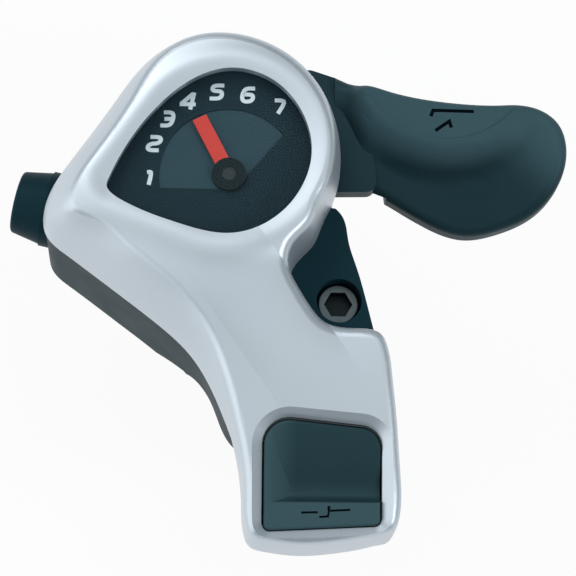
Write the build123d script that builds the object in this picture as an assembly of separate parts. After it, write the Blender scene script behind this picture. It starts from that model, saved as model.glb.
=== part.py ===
"""Bar-top gear shifter: thumb lever, gear dial under a lens, release button and handlebar clamp.

Frame: origin on the handlebar axis at the middle of the clamp, +X along the bar to the right,
+Y forward, away from the rider, +Z up, the way the dial faces. Millimetres.
"""
from build123d import *
import math
import os

# Handlebar clamp
BAR_RADIUS = 11.1
BAR_FIT = 0.05
BAR_RELIEF = 0.5
SADDLE_EASE = 6.5
CLAMP_WALL = 3.8
CLAMP_WIDTH = 22.0
EAR_THICKNESS = 5.0
SPLIT_GAP = 2.0
BOLT_X = 2.4
BOLT_Y = 21.6
BOLT_RADIUS = 2.5
BOLT_HOLE_CLEARANCE = 0.2
BOLT_HEAD_RADIUS = 4.25
BOLT_HEAD_HEIGHT = 5.0
BOLT_SEAT_Z = 16.0
BOLT_KEY_AF = 5.0
NUT_AF = 8.0
NUT_HEIGHT = 4.0
EAR_MARGIN = 5.0
EAR_RIGHT = 8.2

# Heights of the housing
BASE_BOTTOM_Z = -2.5
BOTTOM_FILLET = 1.5
FLOOR_Z = 1.0
PARTING_Z = 24.0
SKIRT_Z = 17.0
SKIRT_START_Y = -7.0
SKIRT_END_Y = -16.0
ROOF_Z = 38.0
ROOF_SLOPE = 9.5
ROOF_BREAK_Y = 24.0
WALL = 2.0
SEAT_GAP = 0.3

# Dial axis, round which drum, lever and needle turn, and the dome over it
DIAL_X = -20.2
DIAL_Y = 44.4
DOME_RADIUS = 24.6
DOME_SHIFT_X = -1.6
DOME_SHIFT_Y = 6.4
DOME_LEAN = 2.4
SHOULDER_FILLET = 2.0
# Depth below the roof, and the share of its lean that the cover's wall has reached there
COVER_LEANS = [(9.0, 0.14), (5.0, 0.38), (2.0, 0.66), (-1.0, 1.05)]

# Cover outline from the dome's left side round the button block and back up the neck.
# Each point is x, y and how far the side wall leans in by the roof.
COVER_FLANK = [
    (-52.6, 48.8, 6.0), (-57.0, 40.0, 6.5), (-56.5, 34.2, 6.5), (-52.6, 30.4, 7.0), (-43.6, 23.6, 7.0),
    (-34.3, 16.4, 7.0), (-27.2, 9.6, 6.5), (-23.0, 2.6, 5.5), (-20.0, -4.6, 4.0), (-17.9, -11.0, 2.2),
    (-16.9, -18.0, 1.6), (-16.5, -24.4, 1.6), (-15.4, -27.0, 2.0), (-12.0, -28.3, 2.6), (-5.0, -29.0, 3.0),
    (2.0, -28.4, 3.0), (9.4, -27.0, 2.6), (12.8, -25.5, 2.0), (13.9, -22.4, 1.4), (13.9, -14.0, 1.2),
    (13.3, -4.0, 1.2), (12.5, 4.5, 1.2), (11.6, 10.2, 1.3), (10.2, 12.8, 1.5), (7.2, 13.9, 1.6),
    (2.5, 14.1, 1.6), (-0.9, 15.1, 1.6), (-3.6, 18.2, 1.6), (-6.2, 22.6, 1.6), (-7.4, 25.9, 1.6),
    (-6.4, 28.9, 1.8), (-2.9, 32.9, 2.0),
]

# Base outline right of the neck, from the rider's end of the saddle up to the dome
BASE_NECK = [
    (-19.0, -5.6), (-15.0, -8.0), (-4.0, -8.4), (6.0, -8.2), (10.3, -7.0), (11.8, -3.0), (11.5, 4.0),
    (10.6, 11.0), (9.5, 16.0), (8.3, 21.0), (6.3, 28.5), (4.6, 34.3), (2.5, 40.6),
]

# Window in the dome: angle and radius about the dial axis
WINDOW = [
    (187, 24.2), (160, 20.2), (138, 19.3), (117, 19.9), (90, 21.3), (64, 20.7), (44, 19.2), (15, 16.9),
    (-12, 14.8), (-47, 13.3), (-88, 13.2), (-134, 15.4), (-160, 21.4),
]
LENS_FIT = 0.1
LENS_FLANGE = 0.8
LENS_RECESS = 0.25
LENS_BEVEL = 0.35
DIAL_Z = 33.2
DIAL_THICKNESS = 0.8
DIAL_RIM = 0.8
SECTOR_RADIUS = 13.9
SECTOR_APEX_X = 1.2
SECTOR_APEX_Y = -2.9
SECTOR_START = 50.0
SECTOR_END = 180.0
SECTOR_DEPTH = 0.3
NEEDLE_ANGLE = 117.0
NEEDLE_WIDTH = 3.0
NEEDLE_LENGTH = 13.2
NEEDLE_TAIL = 2.8
NEEDLE_HUB_RADIUS = 3.4
NEEDLE_THICKNESS = 0.6
SPINDLE_RADIUS = 1.3

# Axle and the stack that turns on it
AXLE_RADIUS = 3.0
AXLE_COLLAR_RADIUS = 5.5
AXLE_COLLAR_HEIGHT = 0.7
AXLE_NUT_AF = 9.0
AXLE_NUT_HEIGHT = 2.2
WASHER_THICKNESS = 0.7
RUNNING_FIT = 0.05
SLEEVE_RADIUS = 5.0
SLEEVE_TOP_Z = 25.5
DRUM_GROOVE_RADIUS = 7.5
CABLE_RADIUS = 0.6
CABLE_END_RADIUS = 2.1
CABLE_END_ANGLE = 60.0
DRUM_FLANGE_RADIUS = 10.0
CABLE_Z = 7.0
GROOVE_WIDTH = 3.0
DRUM_TOP_Z = 10.0
KEY_RADIUS = 6.6
KEY_FLAT = 10.6
WHEEL_THICKNESS = 2.5
WHEEL_TEETH = 16
WHEEL_TIP_RADIUS = 13.5
WHEEL_ROOT_RADIUS = 12.0
PAWL_THICKNESS = 2.0
PAWL_TIP_GAP = 0.35

# Thumb lever
LEVER_PLATE_Z = 13.2
LEVER_PLATE_THICKNESS = 2.0
LEVER_PLATE_RADIUS = 11.0
LEVER_Z = 16.2
LEVER_TOP_Z = 23.4
LEVER_HUB_RADIUS = 13.0
PEG_RADIUS = 1.2
PEG_ORBIT = 8.0
ARM_TOP_Z = 19.8
# Paddle in plan, from its root in front round the tip and back along the lip
PADDLE_OUTLINE = [
    (2.0, 70.9), (8.0, 68.3), (16.0, 65.8), (25.0, 64.4), (36.0, 64.0), (43.0, 63.8), (47.6, 61.0),
    (49.7, 55.4), (48.4, 48.6), (43.6, 42.8), (36.5, 39.7), (28.8, 38.7), (22.0, 40.8), (15.0, 44.4),
    (10.0, 46.8), (2.0, 48.0),
]
PADDLE_THICKNESS = 6.6
# Thumb face: a sheet that falls towards the rider and rises from its valley to root and tip
SHEET_Y = 58.0
SHEET_Z = 20.0
SHEET_FALL = 16.0
VALLEY_X = 24.0
VALLEY_TO_ROOT = 0.004
VALLEY_TO_TIP = 0.0082
# Flat half-moon step in front of it, flaring into the sheet
STEP_CENTRE = (24.5, 74.0)
STEP_RADIUS = 18.0
STEP_TOP_Z = 25.0
STEP_FLARE = 7.5
SHELF_SINK = 0.35
# Root of the paddle, stepped down to pass under the cover
ROOT_X = 2.5
ROOT_LENGTH = 7.0
ROOT_DROP = 4.0
LIP_FILLET = 2.0
SLOT_Z = 15.5
SLOT_START = -9.0
SLOT_END = 117.0
SLOT_REACH = 45.0
SLOT_CLEAR_RADIUS = 33.0
RETURN_COIL_RADIUS = 9.0
RETURN_COIL_WIRE = 0.6
RETURN_COIL_TURNS = 2.5
RETURN_COIL_PITCH = 1.5

# Pawls
DRIVE_PIN_ANGLE = 135.0
DRIVE_PIN_ORBIT = 16.6
DRIVE_NOSE_STEP = 34.0
HOLD_PIN_X = -18.0
HOLD_PIN_Y = 25.0
HOLD_NOSE_ANGLE = -112.0
# Room in the base round the hold pawl's pin
BAY_LEFT = 11.0
BAY_RIGHT = 10.0
BAY_REAR = 5.0
BAY_FRONT = 4.4
PAWL_PIN_RADIUS = 1.5
PAWL_HUB_RADIUS = 2.6
PAWL_NOSE_RADIUS = 1.0
DRIVE_COIL_GAP = 0.25
DRIVE_COIL_WIRE = 0.35
DRIVE_COIL_TURNS = 3
DRIVE_COIL_PITCH = 0.9
HOLD_COIL_GAP = 0.55
HOLD_COIL_WIRE = 0.4
HOLD_COIL_TURNS = 4
HOLD_COIL_PITCH = 1.2
HOLD_HUB_RADIUS = 2.4
CRANK_ARM = 6.0
CRANK_WIDTH = 3.0
CRANK_THICKNESS = 1.5
CRANK_PEG_RADIUS = 1.0

# Release button and link
BUTTON_PIN_Y = -9.5
BUTTON_PIN_Z = 28.0
BUTTON_PIN_RADIUS = 1.2
BUTTON_PIN_GRIP = 1.9
LUG_REACH = 9.0
BUTTON_GAP = 0.25
BUTTON_LEFT = -12.9
BUTTON_RIGHT = 9.8
BUTTON_FRONT = -4.2
BUTTON_REAR = -26.0
BUTTON_SKEW = 2.4
BUTTON_SINK = 0.9
BUTTON_LEFT_CORNER = 5.0
BUTTON_RIGHT_CORNER = 4.0
BUTTON_REAR_CORNER = 1.2
BUTTON_LEDGE = 5.4
BUTTON_RIM = 1.4
SCOOP_DEPTH = 1.9
SCOOP_FLANK = 28.0
BUTTON_EDGE = 0.6
BUTTON_WALL = 1.6
BUTTON_COIL_RADIUS = 1.7
BUTTON_COIL_WIRE = 0.3
BUTTON_COIL_X = -4.6
BUTTON_COIL_TURNS = 4
BUTTON_COIL_PITCH = 1.3
TONGUE_WIDTH = 2.4
TONGUE_FRONT = 1.0
TONGUE_REAR = 1.2
BEZEL_DEPTH = 1.8
BEZEL_FLARE = 2.2
LINK_WIDTH = 4.0
LINK_THICKNESS = 1.5
LINK_CHANNEL = 2.0

# Plate that closes the button block from below
PLATE_THICKNESS = 1.4
PLATE_FIT = 0.15
PLATE_TURN_Y = -12.5
PLATE_END_Y = -8.7

# Cable stop
CABLE_ANGLE = 13.0
STOP_SEAT = 36.4
STOP_NOSE = 6.4
STOP_ROOT_RADIUS = 7.6
STOP_END_RADIUS = 6.4
STOP_SPIGOT_RADIUS = 4.3
STOP_SPIGOT_LENGTH = 6.0
CASING_RADIUS = 3.05
CASING_DEPTH = 8.0

# Cover screws
COVER_SCREWS = [(-48.0, 36.0), (-30.0, 21.0), (-38.5, 60.5)]
SCREW_RADIUS = 1.25
SCREW_HEAD_RADIUS = 2.4
SCREW_HEAD_HEIGHT = 2.0
SCREW_SEAT_Z = 14.0
SCREW_TIP_Z = 31.0
POST_RADIUS = 3.2

# Values that follow from the sizes above
CLAMP_BORE = BAR_RADIUS + BAR_FIT
CLAMP_OUTER = CLAMP_BORE + CLAMP_WALL
EAR_TOP_Z = SPLIT_GAP / 2 + EAR_THICKNESS
EAR_END_Y = BOLT_Y + EAR_MARGIN
DOME_X = DIAL_X + DOME_SHIFT_X
DOME_Y = DIAL_Y + DOME_SHIFT_Y
BOLT_HOLE = BOLT_RADIUS + BOLT_HOLE_CLEARANCE
LENS_TOP_Z = ROOF_Z - LENS_RECESS
CEILING_Z = ROOF_Z - WALL
NEEDLE_Z = DIAL_Z + DIAL_THICKNESS + SEAT_GAP
WASHER_Z = FLOOR_Z + AXLE_COLLAR_HEIGHT
DRUM_Z = WASHER_Z + WASHER_THICKNESS + RUNNING_FIT
WHEEL_TOP_Z = DRUM_TOP_Z + WHEEL_THICKNESS
PAWL_Z = DRUM_TOP_Z + (WHEEL_THICKNESS - PAWL_THICKNESS) / 2
LEVER_PLATE_TOP_Z = LEVER_PLATE_Z + LEVER_PLATE_THICKNESS
LINK_Z = PARTING_Z - LINK_CHANNEL + SEAT_GAP
LINK_X = HOLD_PIN_X + CRANK_ARM


def at_dial(radius, angle):
    """Point at a polar position about the dial axis."""
    return (
        DIAL_X + radius * math.cos(math.radians(angle)),
        DIAL_Y + radius * math.sin(math.radians(angle)),
    )


def post(x, y, radius, z_low, z_high):
    """Upright cylinder between two heights."""
    return Pos(x, y, (z_low + z_high) / 2) * Cylinder(radius, z_high - z_low)


def ring(x, y, outer, inner, z_low, z_high):
    """Upright tube between two heights."""
    return post(x, y, outer, z_low, z_high) - post(x, y, inner, z_low - 1, z_high + 1)


def prism(face, z_low, z_high):
    """Upright extrusion of a plan face between two heights."""
    return Pos(0, 0, z_low) * extrude(face, amount=z_high - z_low)


def block(x_low, x_high, y_low, y_high, z_low, z_high):
    """Box between corner values."""
    size = (x_high - x_low, y_high - y_low, z_high - z_low)
    return Pos((x_low + x_high) / 2, (y_low + y_high) / 2, (z_low + z_high) / 2) * Box(*size)


def across(y, z, radius, x_low, x_high):
    """Cylinder along X between two stations."""
    return Pos((x_low + x_high) / 2, y, z) * Rot(0, 90, 0) * Cylinder(radius, x_high - x_low)


def hexagon(x, y, across_flats, z_low, z_high):
    """Upright hexagonal prism."""
    face = Pos(x, y) * RegularPolygon(across_flats / 2, 6, major_radius=False)
    return prism(face, z_low, z_high)


def coil(radius, wire, turns, pitch):
    """Round-wire coil spring standing on the origin, axis +Z."""
    path = Helix(pitch=pitch, height=pitch * turns, radius=radius)
    section = Plane(origin=path @ 0, z_dir=path % 0) * Circle(wire)
    return sweep(section, path=path)


def inward(points):
    """Unit vectors that point into a closed counter-clockwise outline at each of its points."""
    vectors = []
    for i, here in enumerate(points):
        before = points[i - 1]
        after = points[(i + 1) % len(points)]
        along = (Vector(after[0] - before[0], after[1] - before[1])).normalized()
        vectors.append(Vector(-along.Y, along.X))
    return vectors


def smooth_face(points, z=0.0):
    """Face inside a smooth closed curve through plan points at one height."""
    return make_face(Spline(*[(p[0], p[1], z) for p in points], periodic=True))


def dome_points(first, last, count):
    """Points of the dome's round side, with its lean growing towards the left flank."""
    points = []
    for i in range(count):
        angle = first + (last - first) * i / (count - 1)
        lean = DOME_LEAN + max(0.0, angle - 105) * 0.06
        x = DOME_X + DOME_RADIUS * math.cos(math.radians(angle))
        y = DOME_Y + DOME_RADIUS * math.sin(math.radians(angle))
        points.append((x, y, lean))
    return points


def cover_outline(lean_share, inset=0.0):
    """Cover outline moved inwards by a share of its lean and by a plain inset."""
    points = dome_points(-28, 155, 8) + COVER_FLANK
    moved = []
    for point, normal in zip(points, inward(points)):
        shift = normal * (point[2] * lean_share + inset)
        moved.append((point[0] + shift.X, point[1] + shift.Y))
    return moved


def base_outline(inset):
    """Base outline: the cover's dome and flank, then the saddle and the wider neck."""
    points = dome_points(-20, 155, 8) + COVER_FLANK[:8] + BASE_NECK
    normals = inward(points)
    return [(p[0] + n.X * inset, p[1] + n.Y * inset) for p, n in zip(points, normals)]


def window_face(growth):
    """Window outline about the dial axis, grown by a margin."""
    return smooth_face([at_dial(radius + growth, angle) for angle, radius in WINDOW])


def slot_face():
    """Pie about the dial axis that the lever's arm sweeps."""
    sides = Polyline(at_dial(SLOT_REACH, SLOT_END), (DIAL_X, DIAL_Y), at_dial(SLOT_REACH, SLOT_START))
    return make_face([CenterArc((DIAL_X, DIAL_Y), SLOT_REACH, SLOT_START, SLOT_END - SLOT_START), sides])


def sector_panel():
    """Gear sector in plan: part of a disc, between two lines that pass the hub on its outer sides."""
    far = 2 * SECTOR_RADIUS
    apex_x = DIAL_X + SECTOR_APEX_X
    apex_y = DIAL_Y + SECTOR_APEX_Y
    corners = [(apex_x, apex_y)]
    for angle in (SECTOR_START, (SECTOR_START + SECTOR_END) / 2, SECTOR_END):
        turn = math.radians(angle)
        corners.append((apex_x + far * math.cos(turn), apex_y + far * math.sin(turn)))
    return make_face(Polyline(*corners, close=True)) & Pos(DIAL_X, DIAL_Y) * Circle(SECTOR_RADIUS)


def roof_profile(drop):
    """Everything under the cover's roof line: flat over the dome, sloping over neck and button."""
    fall = math.tan(math.radians(ROOF_SLOPE))
    far = 60.0
    top = ROOF_Z - drop
    end = top - (ROOF_BREAK_Y + far) * fall
    line = FilletPolyline((0, DIAL_Y + far, top), (0, ROOF_BREAK_Y, top), (0, -far, end), radius=far)
    edge = Polyline((0, -far, end), (0, -far, 0), (0, DIAL_Y + far, 0), line @ 0)
    face = make_face([line, edge])
    return extrude(face, amount=2 * far, both=True, dir=(1, 0, 0))


def roof_height(y):
    """Height of the sloping roof above a station along Y."""
    return ROOF_Z - (ROOF_BREAK_Y - y) * math.tan(math.radians(ROOF_SLOPE))


def button_face(gap, z):
    """Button outline, shorter on its right side, grown by a gap."""
    left = BUTTON_LEFT - gap
    right = BUTTON_RIGHT + gap
    corners = Polyline(
        (left, BUTTON_FRONT + gap), (left, BUTTON_REAR - gap), (right, BUTTON_REAR + BUTTON_SKEW / 2 - gap),
        (right, BUTTON_FRONT - BUTTON_SKEW + gap), close=True,
    )
    face = make_face(corners)
    growth = max(gap, 0)
    face = fillet(face.vertices().sort_by(Axis.Y)[:2], BUTTON_REAR_CORNER + growth)
    face = fillet(face.vertices().sort_by(Axis.Y)[-1:], BUTTON_LEFT_CORNER + growth)
    right_front = face.vertices().sort_by_distance((right, BUTTON_FRONT - BUTTON_SKEW + gap))[:1]
    face = fillet(right_front, BUTTON_RIGHT_CORNER + growth)
    return Pos(0, 0, z) * face


def button_pin_ends():
    """Stations along X where the button's hinge pin ends in the cover's lugs."""
    return BUTTON_LEFT - BUTTON_PIN_GRIP, BUTTON_RIGHT + BUTTON_PIN_GRIP


def cable_plane(distance):
    """Plane across the cable's line at a distance from the drum, facing out of the housing."""
    out = Vector(-math.cos(math.radians(CABLE_ANGLE)), math.sin(math.radians(CABLE_ANGLE)))
    foot = Vector(DIAL_X - DRUM_GROOVE_RADIUS * out.Y, DIAL_Y + DRUM_GROOVE_RADIUS * out.X, CABLE_Z)
    return Plane(origin=foot + out * distance, z_dir=out, x_dir=(0, 0, 1))


def along_cable(radius, start, end):
    """Cylinder on the cable's line between two distances from the drum."""
    return extrude(cable_plane(start) * Circle(radius), amount=end - start)


def make_top_cover():
    """Moulded cover: leaning wall under a roof line, hollow, with window, button opening and screw posts."""
    sections = [(SKIRT_Z - 1, 0.0), (PARTING_Z, 0.0)]
    sections += [(ROOF_Z - depth, share) for depth, share in COVER_LEANS]
    body = loft([smooth_face(cover_outline(share), z) for z, share in sections])
    body = body & roof_profile(0)
    rims = [e for e in body.edges() if e.geom_type != GeomType.LINE and e.center().Z > PARTING_Z]
    top_edges = [e for e in rims if e.bounding_box().min.Z > PARTING_Z]
    body = fillet(top_edges, SHOULDER_FILLET)
    hollow = Part()
    levels = [SKIRT_Z - 1] + [ROOF_Z - depth for depth, _ in COVER_LEANS[:2]] + [ROOF_Z]
    for low, high, (_, share) in zip(levels, levels[1:], COVER_LEANS):
        hollow += prism(smooth_face(cover_outline(share, WALL)), low - 1, high)
    cavity = hollow & roof_profile(WALL)
    outer = body
    body = body - cavity
    for x, y in COVER_SCREWS:
        body += post(x, y, POST_RADIUS, PARTING_Z, ROOF_Z) & outer
    lug_radius = 2 * BUTTON_PIN_RADIUS
    lug_left = BUTTON_LEFT - 2 * BUTTON_GAP
    lug_right = BUTTON_RIGHT + 2 * BUTTON_GAP
    body += across(BUTTON_PIN_Y, BUTTON_PIN_Z, lug_radius, lug_left - LUG_REACH, lug_left) & outer
    body += across(BUTTON_PIN_Y, BUTTON_PIN_Z, lug_radius, lug_right, lug_right + LUG_REACH) & outer
    rim_z = roof_height(BUTTON_PIN_Y)
    flare = BUTTON_GAP + BEZEL_FLARE * (1 + 1 / BEZEL_DEPTH)
    opening = loft([button_face(BUTTON_GAP, rim_z - BEZEL_DEPTH), button_face(flare, rim_z + 1)])
    tilt = Pos(0, BUTTON_PIN_Y, rim_z) * Rot(ROOF_SLOPE, 0, 0) * Pos(0, -BUTTON_PIN_Y, -rim_z)
    body -= tilt * opening
    body -= prism(button_face(BUTTON_GAP, 0), SKIRT_Z - 2, rim_z - 1)
    pin_left, pin_right = button_pin_ends()
    pin_bore = BUTTON_PIN_RADIUS + RUNNING_FIT
    body -= across(BUTTON_PIN_Y, BUTTON_PIN_Z, pin_bore, pin_left - SEAT_GAP, pin_right + SEAT_GAP)
    body -= prism(window_face(0), CEILING_Z - 1, ROOF_Z + 1)
    for x, y in COVER_SCREWS:
        body -= post(x, y, SCREW_RADIUS + RUNNING_FIT, PARTING_Z - 1, SCREW_TIP_Z + 1)
    far = 90.0
    below = make_face(Polyline(
        (0, far, PARTING_Z), (0, SKIRT_START_Y, PARTING_Z), (0, SKIRT_END_Y, SKIRT_Z), (0, -far, SKIRT_Z),
        (0, -far, 0), (0, far, 0), close=True,
    ))
    return body - extrude(below, amount=far, both=True, dir=(1, 0, 0))


def make_base_housing():
    """Moulded base: deep under the dome, saddle over the bar, neck with the bolt's counterbore."""
    body = prism(smooth_face(base_outline(SEAT_GAP)), BASE_BOTTOM_Z, PARTING_Z)
    body = fillet(body.faces().sort_by(Axis.Z)[0].edges(), BOTTOM_FILLET)
    body += along_cable(STOP_ROOT_RADIUS + SEAT_GAP, STOP_SEAT - 6, STOP_SEAT)
    inner = smooth_face(base_outline(SEAT_GAP + WALL))
    bay_front = HOLD_PIN_Y + BAY_FRONT
    deep = prism(inner, FLOOR_Z, PARTING_Z + 1) & block(-80, 40, bay_front, 100, 0, 60)
    bay_left = HOLD_PIN_X - BAY_LEFT
    bay_right = HOLD_PIN_X + BAY_RIGHT
    bay = block(bay_left, bay_right, HOLD_PIN_Y - BAY_REAR, DIAL_Y, PAWL_Z - 1, PARTING_Z + 1)
    bay = bay & prism(inner, 0, PARTING_Z + 2)
    covered = prism(smooth_face(cover_outline(0, WALL)), 0, PARTING_Z + 2)
    body -= (deep + bay) & covered
    for x, y in COVER_SCREWS:
        body += post(x, y, POST_RADIUS, FLOOR_Z - 1, PARTING_Z)
    saddle = BAR_RADIUS + BAR_RELIEF
    body -= across(0, 0, saddle, -90, 90)
    eased = make_face(Polyline(
        (0, 0, BASE_BOTTOM_Z - 1), (0, saddle + SADDLE_EASE + 1, BASE_BOTTOM_Z - 1),
        (0, saddle, BASE_BOTTOM_Z + SADDLE_EASE), (0, 0, BASE_BOTTOM_Z + SADDLE_EASE), close=True,
    ))
    body -= extrude(eased, amount=90, both=True, dir=(1, 0, 0))
    body -= across(0, 0, CLAMP_OUTER + SEAT_GAP, -CLAMP_WIDTH / 2 - SEAT_GAP, CLAMP_WIDTH / 2 + SEAT_GAP)
    half = CLAMP_WIDTH / 2 + SEAT_GAP
    body -= block(-half, half + 5, -30, EAR_END_Y + SEAT_GAP, -20, EAR_TOP_Z)
    body -= post(BOLT_X, BOLT_Y, BOLT_HOLE, 0, PARTING_Z + 1)
    body -= post(BOLT_X, BOLT_Y, BOLT_HEAD_RADIUS + SEAT_GAP, BOLT_SEAT_Z, PARTING_Z + 1)
    body -= prism(slot_face(), SLOT_Z, PARTING_Z + 1)
    body -= along_cable(STOP_SPIGOT_RADIUS + RUNNING_FIT, STOP_SEAT - 14, STOP_SEAT + 1)
    body -= post(DIAL_X, DIAL_Y, AXLE_RADIUS + RUNNING_FIT, BASE_BOTTOM_Z - 1, FLOOR_Z + 1)
    nut_top = BASE_BOTTOM_Z + AXLE_NUT_HEIGHT
    body -= hexagon(DIAL_X, DIAL_Y, AXLE_NUT_AF + 2 * LENS_FIT, BASE_BOTTOM_Z - 1, nut_top)
    body -= post(HOLD_PIN_X, HOLD_PIN_Y, PAWL_PIN_RADIUS + RUNNING_FIT, EAR_TOP_Z + 1, PAWL_Z)
    channel = LINK_WIDTH / 2 + SEAT_GAP
    channel_z = PARTING_Z - LINK_CHANNEL
    body -= block(LINK_X - channel, LINK_X + channel, -30, HOLD_PIN_Y + 5, channel_z, PARTING_Z + 1)
    for x, y in COVER_SCREWS:
        body -= post(x, y, SCREW_HEAD_RADIUS + SEAT_GAP, BASE_BOTTOM_Z - 1, SCREW_SEAT_Z)
        body -= post(x, y, SCREW_RADIUS + RUNNING_FIT, SCREW_SEAT_Z - 1, PARTING_Z + 1)
    return body


def make_clamp_band():
    """Split ring round the bar with two ears in front, drilled for the bolt."""
    profile = Circle(CLAMP_OUTER) + Pos(EAR_END_Y / 2, 0) * Rectangle(EAR_END_Y, 2 * EAR_TOP_Z)
    profile -= Circle(CLAMP_BORE)
    profile -= Pos(EAR_END_Y / 2 + 4, 0) * Rectangle(EAR_END_Y, SPLIT_GAP)
    band = extrude(Plane.YZ * profile, amount=CLAMP_WIDTH / 2, both=True)
    band -= block(EAR_RIGHT, CLAMP_WIDTH, CLAMP_OUTER, 2 * EAR_END_Y, -2 * EAR_TOP_Z, 2 * EAR_TOP_Z)
    ends = band.edges().filter_by(Axis.Z).sort_by(Axis.Y)[-4:]
    band = fillet(ends, EAR_MARGIN - 1)
    return band - post(BOLT_X, BOLT_Y, BOLT_HOLE, -20, 20)


def make_clamp_bolt():
    """Cap bolt with a hexagon socket in its head."""
    head_top = BOLT_SEAT_Z + BOLT_HEAD_HEIGHT
    head = post(BOLT_X, BOLT_Y, BOLT_HEAD_RADIUS, BOLT_SEAT_Z, head_top)
    head = chamfer(head.edges().sort_by(Axis.Z)[-1:], 0.4)
    head -= hexagon(BOLT_X, BOLT_Y, BOLT_KEY_AF, head_top - 2.8, head_top + 1)
    return head + post(BOLT_X, BOLT_Y, BOLT_RADIUS, -EAR_TOP_Z - NUT_HEIGHT - 1, BOLT_SEAT_Z)


def make_clamp_nut():
    """Hexagon nut under the lower ear."""
    nut = hexagon(BOLT_X, BOLT_Y, NUT_AF, -EAR_TOP_Z - NUT_HEIGHT, -EAR_TOP_Z)
    return nut - post(BOLT_X, BOLT_Y, BOLT_RADIUS + RUNNING_FIT, -30, 0)


def make_dial_lens():
    """Clear window: a plug in the roof's opening on a flange under the roof."""
    plug = prism(window_face(-LENS_FIT), CEILING_Z, LENS_TOP_Z)
    plug = chamfer(plug.faces().sort_by(Axis.Z)[-1].edges(), LENS_BEVEL)
    return plug + prism(window_face(LENS_FLANGE), CEILING_Z - LENS_FLANGE, CEILING_Z)


def make_dial_plate():
    """Shallow tray hung under the roof, with a sunk gear sector and a hole for the spindle."""
    rim_growth = LENS_FLANGE + LENS_FIT
    tray = prism(window_face(rim_growth + DIAL_RIM), DIAL_Z, CEILING_Z)
    tray -= prism(window_face(rim_growth), DIAL_Z + DIAL_THICKNESS, CEILING_Z + 1)
    face_z = DIAL_Z + DIAL_THICKNESS
    tray -= prism(sector_panel(), face_z - SECTOR_DEPTH, face_z + 1)
    return tray - post(DIAL_X, DIAL_Y, SPINDLE_RADIUS + SEAT_GAP, DIAL_Z - 1, CEILING_Z)


def make_indicator_needle():
    """Flat pointer on the spindle, aimed at the middle gear."""
    length = NEEDLE_LENGTH + NEEDLE_TAIL
    blade = Pos(length / 2 - NEEDLE_TAIL, 0) * RectangleRounded(length, NEEDLE_WIDTH, 0.15)
    blade = Pos(DIAL_X, DIAL_Y) * Rot(0, 0, NEEDLE_ANGLE) * (blade + Circle(NEEDLE_HUB_RADIUS))
    needle = prism(blade, NEEDLE_Z, NEEDLE_Z + NEEDLE_THICKNESS)
    return needle - post(DIAL_X, DIAL_Y, SPINDLE_RADIUS, NEEDLE_Z - 1, NEEDLE_Z + 1)


def make_needle_spindle():
    """Cap over the drum's sleeve, drawn up into the thin spindle that carries the needle."""
    cap_low = LEVER_TOP_Z + SEAT_GAP
    cap = post(DIAL_X, DIAL_Y, SLEEVE_RADIUS + 1.6, cap_low, SLEEVE_TOP_Z + 4.6)
    cap -= post(DIAL_X, DIAL_Y, SLEEVE_RADIUS, cap_low - 1, SLEEVE_TOP_Z + 3.2)
    return cap + post(DIAL_X, DIAL_Y, SPINDLE_RADIUS, SLEEVE_TOP_Z + 4, NEEDLE_Z + NEEDLE_THICKNESS)


def make_main_axle():
    """Fixed stepped axle: threaded foot, collar on the floor, groove for the circlip."""
    axle = post(DIAL_X, DIAL_Y, AXLE_RADIUS, BASE_BOTTOM_Z, SLEEVE_TOP_Z + 2.6)
    axle += post(DIAL_X, DIAL_Y, AXLE_COLLAR_RADIUS, FLOOR_Z, WASHER_Z)
    groove_z = SLEEVE_TOP_Z + WASHER_THICKNESS + 2 * RUNNING_FIT
    axle -= ring(DIAL_X, DIAL_Y, AXLE_RADIUS + 1, AXLE_RADIUS - 0.5, groove_z, groove_z + 0.9)
    return chamfer(axle.edges().sort_by(Axis.Z)[-1:], 0.4)


def make_axle_circlip():
    """Open ring in the axle's groove."""
    z = SLEEVE_TOP_Z + WASHER_THICKNESS + 3 * RUNNING_FIT
    clip = ring(DIAL_X, DIAL_Y, AXLE_RADIUS + 1.3, AXLE_RADIUS - 0.45, z, z + 0.8)
    return clip - block(DIAL_X, DIAL_X + 9, DIAL_Y - 1.6, DIAL_Y + 1.6, z - 1, z + 2)


def make_axle_nut():
    """Hexagon nut let into the underside of the base."""
    nut = hexagon(DIAL_X, DIAL_Y, AXLE_NUT_AF, BASE_BOTTOM_Z, BASE_BOTTOM_Z + AXLE_NUT_HEIGHT)
    return nut - post(DIAL_X, DIAL_Y, AXLE_RADIUS + RUNNING_FIT, -20, 20)


def make_thrust_washer():
    """Washer between the axle's collar and the drum."""
    bore = AXLE_RADIUS + RUNNING_FIT
    return ring(DIAL_X, DIAL_Y, AXLE_COLLAR_RADIUS + 1, bore, WASHER_Z, WASHER_Z + WASHER_THICKNESS)


def make_top_washer():
    """Washer between the drum's sleeve and the circlip."""
    z = SLEEVE_TOP_Z + RUNNING_FIT
    return ring(DIAL_X, DIAL_Y, SLEEVE_RADIUS - 0.4, AXLE_RADIUS + RUNNING_FIT, z, z + WASHER_THICKNESS)


def key_face(clearance):
    """Two-flat key between drum and ratchet wheel."""
    return Pos(DIAL_X, DIAL_Y) * (Circle(KEY_RADIUS + clearance) & Rectangle(20, KEY_FLAT + 2 * clearance))


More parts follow.
